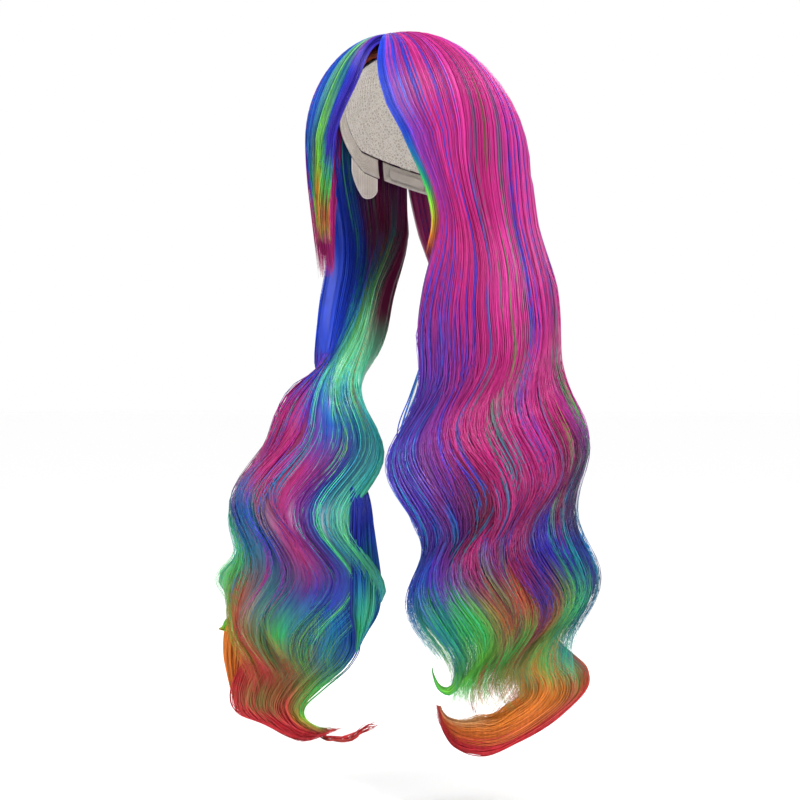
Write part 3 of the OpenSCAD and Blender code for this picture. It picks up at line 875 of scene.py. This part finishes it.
def add_dyed(tress, rng, paths, dyes, thick=STRAND, dark=0.85):
    """Strands with their dyes, each a little darker or lighter."""
    n, k = paths.shape[:2]
    radius = strand_radius(n, k, thick, rng)
    tress.add_strands(paths, radius, dyes * rng.uniform(dark, 1.15, (n, 1, 1)))


def hanging_hair(seed, side, lock, s0, s1, tips, slot, *on_head):
    """One falling part of the hair, from the parting over the cap to its tips.
    Its inner and outer layers are two pieces."""
    sheet, field = SHEETS[side], Streaks(np.random.default_rng(seed))
    for part, layers in (("under", LAYERS[:2]), ("over", LAYERS[2:])):
        rng = np.random.default_rng(seed * 10 + len(part))
        tress = Tresses()
        if part == "under":
            core(tress, sheet, rng, s0, s1, max(tips) + 4)
        for layer in layers:
            wisps(tress, sheet, rng, layer, s0, s1, tips, field)
        if part == "over" and lock == "face":
            face_edge(tress, rng)
        nodes = [f"{side}_lock_{lock}", *on_head]
        finish_hair(tress, f"{side}_{lock}_hair_{part}", nodes, f"{side}_hair", True)


def face_edge(tress, rng):
    """The lock along the face's edge, and the few thin strands that fall inside it."""
    n = int(150 * DETAIL)
    s = rng.uniform(-0.035, 0.03, (n, 1)) + np.zeros((1, OVER + EDGE_RINGS))
    d = rng.uniform(0.3, 1.1, (n, 1)) + np.zeros((1, OVER + EDGE_RINGS))
    tips = rng.uniform(-225, -185, n)
    paths = LEFT.paths(s, d, tips, np.zeros(n), np.ones(n), EDGE_RINGS)
    add_dyed(tress, rng, paths, dye_at(FACE_EDGE_DYES, (s + 0.035) / 0.065, paths[:, :, 2]))
    fan(tress, rng, INNER_GUIDES, INNER_DYES, 90, 0.28, 8, 1.2, (0.5, 1.0), wobble=2.0,
        backing=False)


# Guide curves of the curled ends, in mm, from inside the lock to the tip
INNER_GUIDES = (
    [[92, -80, -210], [80, -79, -253], [74, -79, -295], [68, -78, -326], [60, -85, -363],
     [50, -91, -400], [47, -91, -442], [51, -87, -484], [65, -81, -516]],
    [[99, -76, -210], [91, -75, -253], [87, -74, -295], [81, -73, -326], [74, -79, -363],
     [65, -84, -400], [63, -85, -442], [68, -81, -484], [79, -75, -516]])
LOOP_GUIDES = (
    [[161, 21, -563], [166, 35, -602], [165, 44, -631], [177, 68, -655], [178, 68, -676],
     [165, 39, -703], [145, 1, -725], [123, -30, -739], [102, -53, -730], [91, -62, -707],
     [85, -64, -682]],
    [[154, 4, -568], [161, 21, -613], [163, 32, -642], [171, 50, -665], [169, 45, -688],
     [156, 22, -708], [138, -10, -724], [122, -34, -730], [106, -51, -722], [96, -59, -703],
     [92, -61, -686]],
    [[146, -13, -579], [152, -1, -621], [156, 11, -648], [160, 25, -669], [156, 22, -686],
     [147, 3, -701], [134, -18, -713], [122, -35, -715], [112, -46, -707], [105, -52, -695],
     [103, -53, -686]],
    [[137, -29, -589], [142, -19, -631], [146, -10, -653], [149, -3, -669], [147, -5, -682],
     [139, -14, -690], [131, -26, -697], [125, -34, -698], [119, -40, -694], [116, -43, -687],
     [115, -43, -682]])
HOOK_GUIDES = (
    [[124, -63, -579], [118, -63, -621], [116, -62, -646], [112, -65, -667], [103, -72, -679],
     [95, -80, -674], [90, -84, -659], [90, -84, -650]],
    [[112, -73, -579], [107, -72, -621], [107, -69, -646], [107, -70, -663], [102, -74, -671],
     [96, -79, -668], [92, -82, -658], [91, -83, -650]])
FLIP_GUIDES = (
    [[-190, -64, -537], [-193, -62, -568], [-201, -64, -587], [-206, -66, -598],
     [-213, -69, -606], [-218, -72, -611], [-222, -73, -616]],
    [[-183, -73, -537], [-175, -66, -568], [-174, -60, -593], [-186, -60, -614],
     [-201, -65, -622], [-213, -69, -623], [-222, -73, -619]])
COLUMN_GUIDES = (
    [[-178, -67, -537], [-178, -64, -568], [-179, -62, -589], [-199, -68, -608],
     [-213, -72, -617], [-216, -72, -642], [-214, -73, -674], [-210, -72, -701]],
    [[-149, -78, -537], [-134, -66, -568], [-132, -58, -595], [-152, -62, -620],
     [-176, -64, -634], [-184, -64, -656], [-186, -63, -682], [-184, -64, -710]])
MASS_GUIDES = (
    [[-165, -78, -579], [-159, -73, -610], [-169, -74, -637], [-192, -75, -663],
     [-201, -75, -689], [-195, -72, -707], [-163, -61, -718], [-127, -55, -734],
     [-98, -51, -724]],
    [[-119, -81, -568], [-112, -76, -600], [-125, -74, -637], [-153, -73, -668],
     [-163, -71, -695], [-150, -63, -711], [-129, -56, -724], [-111, -51, -730],
     [-82, -50, -718]],
    [[-85, -72, -563], [-68, -63, -605], [-79, -63, -637], [-108, -67, -668],
     [-129, -66, -693], [-125, -61, -709], [-111, -54, -720], [-90, -50, -720],
     [-61, -46, -713]],
    [[-54, -56, -568], [-42, -45, -621], [-51, -48, -647], [-79, -58, -671],
     [-103, -60, -693], [-107, -56, -707], [-90, -50, -716], [-62, -41, -711],
     [-21, -34, -707]])
LENS_GUIDES = (
    [[-53, -26, -452], [-44, -24, -482], [-36, -25, -525], [-30, -25, -569], [-34, -31, -604],
     [-43, -44, -634]],
    [[-55, -46, -452], [-51, -48, -482], [-49, -53, -525], [-46, -56, -569], [-46, -56, -604],
     [-46, -52, -634]])
FLICK_GUIDES = (
    [[-104, -55, -716], [-86, -50, -724], [-60, -45, -722], [-36, -39, -708], [-20, -34, -704]],
    [[-98, -52, -724], [-80, -48, -730], [-54, -43, -726], [-34, -38, -714], [-24, -35, -710]])


def moved(guides, along, up):
    """Guides shifted along the view's width and up, in mm."""
    turn = math.radians(VIEW_AZIMUTH)
    shift = (math.cos(turn) * along, math.sin(turn) * along, up)
    return [np.array(g, float) + shift for g in guides]


def curl(name, seed, body, slot, *fans):
    """A curled end, made of one or more fans of strands, in place of its CAD part."""
    rng = np.random.default_rng(seed)
    tress = Tresses()
    for guides, dyes, count, thick, depth, more in fans:
        fan(tress, rng, guides, dyes, int(count * DETAIL), thick, depth, **more)
    finish_hair(tress, f"{name}_hair", [name], body)


def hairline(tress, rng):
    """Short hair that lies along the cap's front edge, either side of the parting."""
    n = int(260 * DETAIL)
    side = np.where(rng.random(n) < 0.62, -1, 1)[:, None]
    f = np.linspace(0, 1, 16)[None, :]
    start, reach = rng.uniform(0, 10, (n, 1)), rng.uniform(14, 30, (n, 1))
    angle = side * (start + reach * f) + 2
    lift = rng.uniform(1, 13, (n, 1)) * (1 - 0.4 * f) - 2.5 * f
    off = rng.uniform(4.2, 7, (n, 1)) + rng.uniform(2, 6, (n, 1)) * np.sin(np.pi * f) + 2 * f
    paths = cap_point(angle, cap_edge(angle) + lift, off)
    dyes = dye_at(ROOT_DYES, rng.random((n, 1)) + 0 * f, paths[:, :, 2])
    add_dyed(tress, rng, paths, dyes, 0.3, 0.7)


def add_fringe():
    rng = np.random.default_rng(40)
    tress = Tresses()
    a, paths = over_head(rng, int(760 * DETAIL), -66, 1, -44, (-206, -118), 1.0, 48)
    s = -a / 66
    wisp = np.clip(np.floor(s * 30), 0, 30).astype(int)
    jitter = np.random.default_rng(41).normal(0, 0.035, 31)[wisp]
    heights = paths[:, :, 2] + rng.normal(0, 6, (len(a), 1))
    add_dyed(tress, rng, paths, dye_at(FRINGE_DYES, (s + jitter)[:, None], heights))
    hairline(tress, rng)
    finish_hair(tress, "fringe_right_hair", ["fringe_right"], "cap")


def add_side_lock():
    rng = np.random.default_rng(42)
    tress = Tresses()
    a, paths = over_head(rng, int(640 * DETAIL), -86, -44, -58, (-240, -190), 0.8, 40)
    dyes = dye_at(SIDE_DYES, ((-a - 46) / 38)[:, None], paths[:, :, 2])
    add_dyed(tress, rng, paths, dyes, dark=0.8)
    finish_hair(tress, "side_lock_right_hair", ["side_lock_right"], "cap")


SHEETS = {"left": LEFT, "right": RIGHT, "back": BACK}
# Side, lock, its place across the sheet, heights of its tips, slot, and the CAD part on the
# head that runs into it
HANGING = (
    ("left", "face", 0.0, 0.24, (-650, -618), "hair_purple", "fringe_left"),
    ("left", "front", 0.22, 0.5, (-668, -642), "hair_magenta", "crown_hair_left"),
    ("left", "middle", 0.48, 0.76, (-668, -640), "hair_magenta"),
    ("left", "outer", 0.74, 1.0, (-655, -620), "hair_blue"),
    ("right", "blue", 0.0, 0.24, (-665, -630), "hair_blue", "crown_hair_right"),
    ("right", "green", 0.2, 0.46, (-685, -645), "hair_green"),
    ("right", "front", 0.44, 0.74, (-700, -660), "hair_magenta"),
    ("right", "outer", 0.7, 1.0, (-695, -655), "hair_green"),
    ("back", "left", 0.0, 0.35, (-700, -650), "hair_magenta", "crown_hair_back"),
    ("back", "centre", 0.32, 0.68, (-712, -665), "hair_purple"),
    ("back", "right", 0.65, 1.0, (-700, -650), "hair_magenta"))


def add_hair():
    for seed, row in enumerate(HANGING, 1):
        hanging_hair(seed, *row)
    add_fringe()
    add_side_lock()
    # A fan's guides, dyes, number of strands, their radius and the fan's depth, then its shape
    curl("left_tip_curl", 50, "left_hair", "hair_red",
         (moved(LOOP_GUIDES, -8, 13), LOOP_DYES, 520, 0.42, 6,
          dict(skew=1.3, ends=(0.86, 1.0), samples=56, wobble=1.2, close=0.0, root=0.12)))
    curl("left_hook_curl", 51, "left_hair", "hair_green",
         (moved(HOOK_GUIDES, -2, 16), HOOK_DYES, 150, 0.5, 4,
          dict(ends=(0.93, 1.0), wobble=0.3, root=0.12)))
    curl("right_flip_curl", 52, "right_hair", "hair_orange",
         (FLIP_GUIDES, FLIP_DYES, 260, 0.4, 5, dict(ends=(0.93, 1.0), wobble=0.4)),
         (COLUMN_GUIDES, COLUMN_DYES, 380, 0.38, 6, dict(wobble=0.9)))
    curl("right_tip_curl", 53, "right_hair", "hair_red",
         (MASS_GUIDES, MASS_DYES, 460, 0.4, 7, dict(ends=(0.86, 1.0), samples=52, wobble=1.2)),
         (LENS_GUIDES, LENS_DYES, 320, 0.4, 6, dict(ends=(0.95, 1.0), samples=40, wobble=0.6)))
    curl("right_tip_flick", 54, "right_hair", "hair_red",
         (FLICK_GUIDES, FLICK_DYES, 150, 0.3, 4,
          dict(ends=(0.6, 1.0), samples=40, wobble=1.2, backing=False)))


# ---- the cap
CAP_EDGE = ([0, 30, 60, 90, 120, 150, 180], [56, 43, 12, -14, -22, -30, -33])
BAND_LIFT = 11.7           # height of the hairline band, in degrees round the cap
NET_O, CLOTH_T = 2.6, 0.8  # the net's distance from the head, and the cloth's thickness
NET_LOW, NET_TOP = BAND_LIFT + 1.2, 89.5
BAND_TURN, NAPE_TURN = 104, 108
RIBBON_TURNS = (50, 85, 125, 155, 205, 235, 275, 310)
RIBBON_HALF, RIBBON_SEAM, RIBBON_O = 3.5, 2.4, 4.2
WEFT_ROWS, WEFT_FIRST, WEFT_PITCH, WEFT_O = 6, 5, 9, 5.9
PATCH_HALF, PATCH_FRONT, PATCH_BACK = 13, -48, 40
TAB_TURN, TAB_HALF, TAB_DROP = 91, 11.0, 26.0
CREAM, TAN, THREAD = (0.95, 0.91, 0.84), (0.91, 0.85, 0.76), (0.97, 0.94, 0.89)
SKIN, ELASTIC, SATIN = (0.80, 0.60, 0.46), (0.86, 0.81, 0.74), (0.90, 0.89, 0.87)
STEEL, PLASTIC = (0.62, 0.62, 0.64), (0.55, 0.48, 0.42)
WEFT_DYE = linear(150, 30, 100)


def cap_point(a, e, off):
    """Points of the cap: angle a round from the forehead, e above its widest level."""
    a, e = np.radians(a), np.radians(e)
    return np.stack(np.broadcast_arrays((HEAD_W + off) * np.sin(a) * np.cos(e),
                                        -(HEAD_D + off) * np.cos(a) * np.cos(e),
                                        EQUATOR + (HEAD_H + off) * np.sin(e)), -1)


def cap_edge(a):
    b = np.abs((np.asarray(a, float) + 180) % 360 - 180)
    return np.interp(b, *CAP_EDGE)


def shell(name, outer, inner, material, slot, *nodes):
    """A closed piece of cloth on the cap, between two grids of points in mm."""
    n, m = outer.shape[:2]
    ids = np.arange(n * m).reshape(n, m)
    a, b = ids, ids + n * m
    faces = [np.stack([a[:-1, :-1], a[1:, :-1], a[1:, 1:], a[:-1, 1:]], -1),
             np.stack([b[:-1, :-1], b[:-1, 1:], b[1:, 1:], b[1:, :-1]], -1)]
    for p, q in ((a[0], b[0]), (b[-1], a[-1]), (b[:, 0], a[:, 0]), (a[:, -1], b[:, -1])):
        faces.append(np.stack([p[:-1], p[1:], q[1:], q[:-1]], -1))
    faces = np.concatenate([f.reshape(-1, 4) for f in faces])
    points = np.concatenate([outer.reshape(-1, 3), inner.reshape(-1, 3)]) * MM
    mesh = bpy.data.meshes.new(name)
    mesh.from_pydata(points.tolist(), [], faces.tolist())
    mesh.polygons.foreach_set("use_smooth", np.ones(len(mesh.polygons), bool))
    mesh.materials.append(material)
    made = add_object(name, mesh)
    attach(made, "cap")
    if nodes:
        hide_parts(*nodes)


def cap_cloth(name, a0, a1, low, high, off, material, slot, *nodes, steps=(120, 12),
              pucker=0.12, rib=0.0):
    """Cloth on the cap between two angles, with rolled hems along both edges."""
    a = np.linspace(a0, a1, steps[0])[:, None]
    f = np.linspace(0, 1, steps[1])[None, :]
    e = cap_edge(a) + mix(low, high, f)
    hem = np.exp(-((0.5 - np.abs(f - 0.5)) / 0.07) ** 2) * 0.25
    wrinkle = pucker * np.sin(a * 1.9 + 3 * np.sin(f * 5)) * np.sin(f * 9)
    ribs = rib * np.sin(np.radians(a) * 260)
    shell(name, cap_point(a, e, off + CLOTH_T + hem + wrinkle + ribs),
          cap_point(a, e, off - hem + wrinkle - ribs), material, slot, *nodes)


def threads(tress, path, radius, colour):
    dyes = np.broadcast_to(np.array(colour), (1, *path.shape))
    tress.add_strands(path[None], np.full((1, len(path)), radius), dyes, 5)


def finish_threads(tress, name, material, body, slot, *nodes):
    piece = tress.make(name, material)
    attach(piece, body)
    if nodes:
        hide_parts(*nodes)


def zigzag(a0, a1, e, off, width, turns):
    """A zigzag thread along a line of the cap."""
    t = np.linspace(0, 1, turns * 4 + 1)
    sway = width * (2 * np.abs(((t * turns) % 1) * 2 - 1) - 1)
    angle = mix(a0, a1, t)
    return cap_point(angle, cap_edge(angle) + e + sway, off)


def add_net(net_cloth, yarn):
    """A thin stretch cloth, dimpled in each cell, with a raised lattice inside it."""
    a = np.linspace(0, 360, 181)[:, None]
    f = np.linspace(0, 1, 60)[None, :]
    e = mix(cap_edge(a) + NET_LOW, NET_TOP, f)
    cell = 0.22 * np.sin(np.radians(a) * 36 + f * 75) * np.sin(np.radians(a) * 36 - f * 75)
    shell("cap_net", cap_point(a, e, NET_O + 0.6 + cell), cap_point(a, e, NET_O + 0.2 + cell),
          net_cloth, "cap_net", "crown_net")
    lattice = Tresses()
    rise = np.linspace(0.01, 0.93, 70)
    for way in (-1, 1):
        for start in np.arange(0, 360, 6):
            angle = start + way * rise * 120
            level = mix(cap_edge(angle) + NET_LOW, NET_TOP, rise)
            threads(lattice, cap_point(angle, level, NET_O), 0.35, THREAD)
    finish_threads(lattice, "cap_net_lattice", yarn, "cap", "cap_net")


def add_bands(band_cloth, elastic, yarn):
    """The hairline band, the nape elastic and the ribbons, with their stitching."""
    cap_cloth("front_band_cloth", -BAND_TURN, BAND_TURN, 0, BAND_LIFT, NET_O, band_cloth,
              "cap_cloth", "front_band")
    cap_cloth("nape_elastic_band", NAPE_TURN, 360 - NAPE_TURN, 0, BAND_LIFT, NET_O, elastic,
              "elastic", "nape_elastic", rib=0.16, steps=(700, 8))
    sewing = Tresses()
    for level in (1.2, 6.0, BAND_LIFT - 1.2):
        for off in (NET_O - 0.35, NET_O + CLOTH_T + 0.35):
            threads(sewing, zigzag(-102, 102, level, off, 0.7, 130), 0.16, THREAD)
            threads(sewing, zigzag(110, 250, level, off, 0.7, 90), 0.16, THREAD)
    for i, middle in enumerate(RIBBON_TURNS):
        top = min(68, 70 - float(cap_edge(middle)))
        nodes = ["ribbon_spokes"] if i == 0 else []
        cap_cloth(f"cap_ribbon_{i + 1}", middle - RIBBON_HALF, middle + RIBBON_HALF,
                  BAND_LIFT + 1, top, RIBBON_O, band_cloth, "cap_cloth", *nodes,
                  steps=(10, 60), pucker=0.05)
        up = np.linspace(BAND_LIFT + 2, top - 1, 60)
        for seam in (middle - RIBBON_SEAM, middle + RIBBON_SEAM):
            line = cap_point(seam, cap_edge(seam) + up, RIBBON_O + CLOTH_T + 0.15)
            threads(sewing, line, 0.15, THREAD)
    finish_threads(sewing, "cap_stitching", yarn, "cap", "cap_cloth")


def add_wefts(yarn):
    """Each weft row is three twisted strands, sewn down by a zigzag."""
    for name, a0, a1 in (("left", 62, 118), ("right", 242, 298), ("back", 122, 238)):
        rows = Tresses()
        angle = np.linspace(a0, a1, 160)
        for row in range(WEFT_ROWS):
            low = BAND_LIFT + WEFT_FIRST + WEFT_PITCH * row
            for part in range(3):
                twist = 0.35 * np.sin(np.radians(angle) * 150 + 2.1 * part)
                level = cap_edge(angle) + low + 0.25 + 0.45 * part
                threads(rows, cap_point(angle, level, WEFT_O + twist), 0.42, WEFT_DYE)
            threads(rows, zigzag(a0, a1, low + 0.7, WEFT_O + 0.4, 0.6, 60), 0.14, THREAD)
        finish_threads(rows, f"weft_rows_{name}_thread", yarn, "cap", "weft", f"weft_rows_{name}")


def add_parting(skin):
    """A skin-coloured strip, dimpled where the hair is knotted into it."""
    y = np.linspace(PATCH_FRONT, PATCH_BACK, 90)[:, None]
    x = np.linspace(-PATCH_HALF, PATCH_HALF, 30)[None, :] + PARTING_X
    dimple = 0.18 * np.sin(y * 2.4) * np.sin(x * 2.4)

    def face(off):
        across, along = x / (HEAD_W + off), y / (HEAD_D + off)
        z = EQUATOR + (HEAD_H + off) * np.sqrt(1 - across ** 2 - along ** 2)
        return np.stack([x + 0 * y, y + 0 * x, z + dimple], -1)

    shell("parting_strip", face(4.2), face(5.0), skin, "cap_skin", "parting_patch")


def add_tab_bindings(yarn):
    """Each ear tab has a bound edge, and a row of stitches on both of its faces."""
    side_rings, end_rings = 8, 22
    ends = np.full(side_rings, TAB_HALF)
    down = np.linspace(0.5, TAB_DROP, side_rings)
    angle = np.concatenate([-ends, np.linspace(-TAB_HALF, TAB_HALF, end_rings), ends])
    drop = np.concatenate([down, np.full(end_rings, TAB_DROP), down[::-1]])
    rounded = np.sqrt(np.maximum(0.05, 1 - (angle / (TAB_HALF + 2)) ** 2))
    for side, name in ((1, "left"), (-1, "right")):
        trim = Tresses()
        for inset, off, thick in ((0.0, NET_O + 0.4, 0.75), (0.16, NET_O - 0.1, 0.2),
                                  (0.16, NET_O + 0.9, 0.2)):
            a = TAB_TURN + angle * (1 - inset)
            line = cap_point(a, cap_edge(a), off)
            line[:, 2] -= 1.5 + drop * rounded * (1 - 0.5 * inset)
            threads(trim, line * (side, 1, 1), thick, THREAD)
        finish_threads(trim, f"ear_tab_binding_{name}", yarn, f"ear_tab_{name}", "cap_cloth")


def dress(cad_node, material):
    """A part that keeps its CAD shape gets its material."""
    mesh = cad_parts[cad_node].data
    mesh.materials.clear()
    mesh.materials.append(material)


def add_cap():
    band_cloth = cloth_material("cap_band_cloth", TAN, 900.0, 0.6)
    elastic = cloth_material("elastic_rib", ELASTIC, 700.0, 0.9)
    steel = hard_material("stay_steel", STEEL, 0.3, 1.0, (900, 900, 60))
    plastic = hard_material("hook_plastic", PLASTIC, 0.4, 0.0, (300, 300, 300))
    yarn = fibre_material("sewing_thread")
    add_net(net_material("cap_net_cloth", CREAM), yarn)
    add_bands(band_cloth, elastic, yarn)
    add_wefts(yarn)
    add_parting(cloth_material("parting_skin", SKIN, 1400.0, 0.25, 0.7))
    add_tab_bindings(yarn)
    for side in ("left", "right"):
        for part, material in (("ear_tab_", band_cloth), ("ear_tab_stay_", steel),
                               ("adjuster_strap_", elastic), ("adjuster_hook_", plastic),
                               ("hook_loops_", elastic)):
            dress(part + side, material)
    dress("care_label", cloth_material("label_satin", SATIN, 1600.0, 0.2, 0.45))


add_camera()
add_lights()
add_floor()
add_cap()
add_hair()
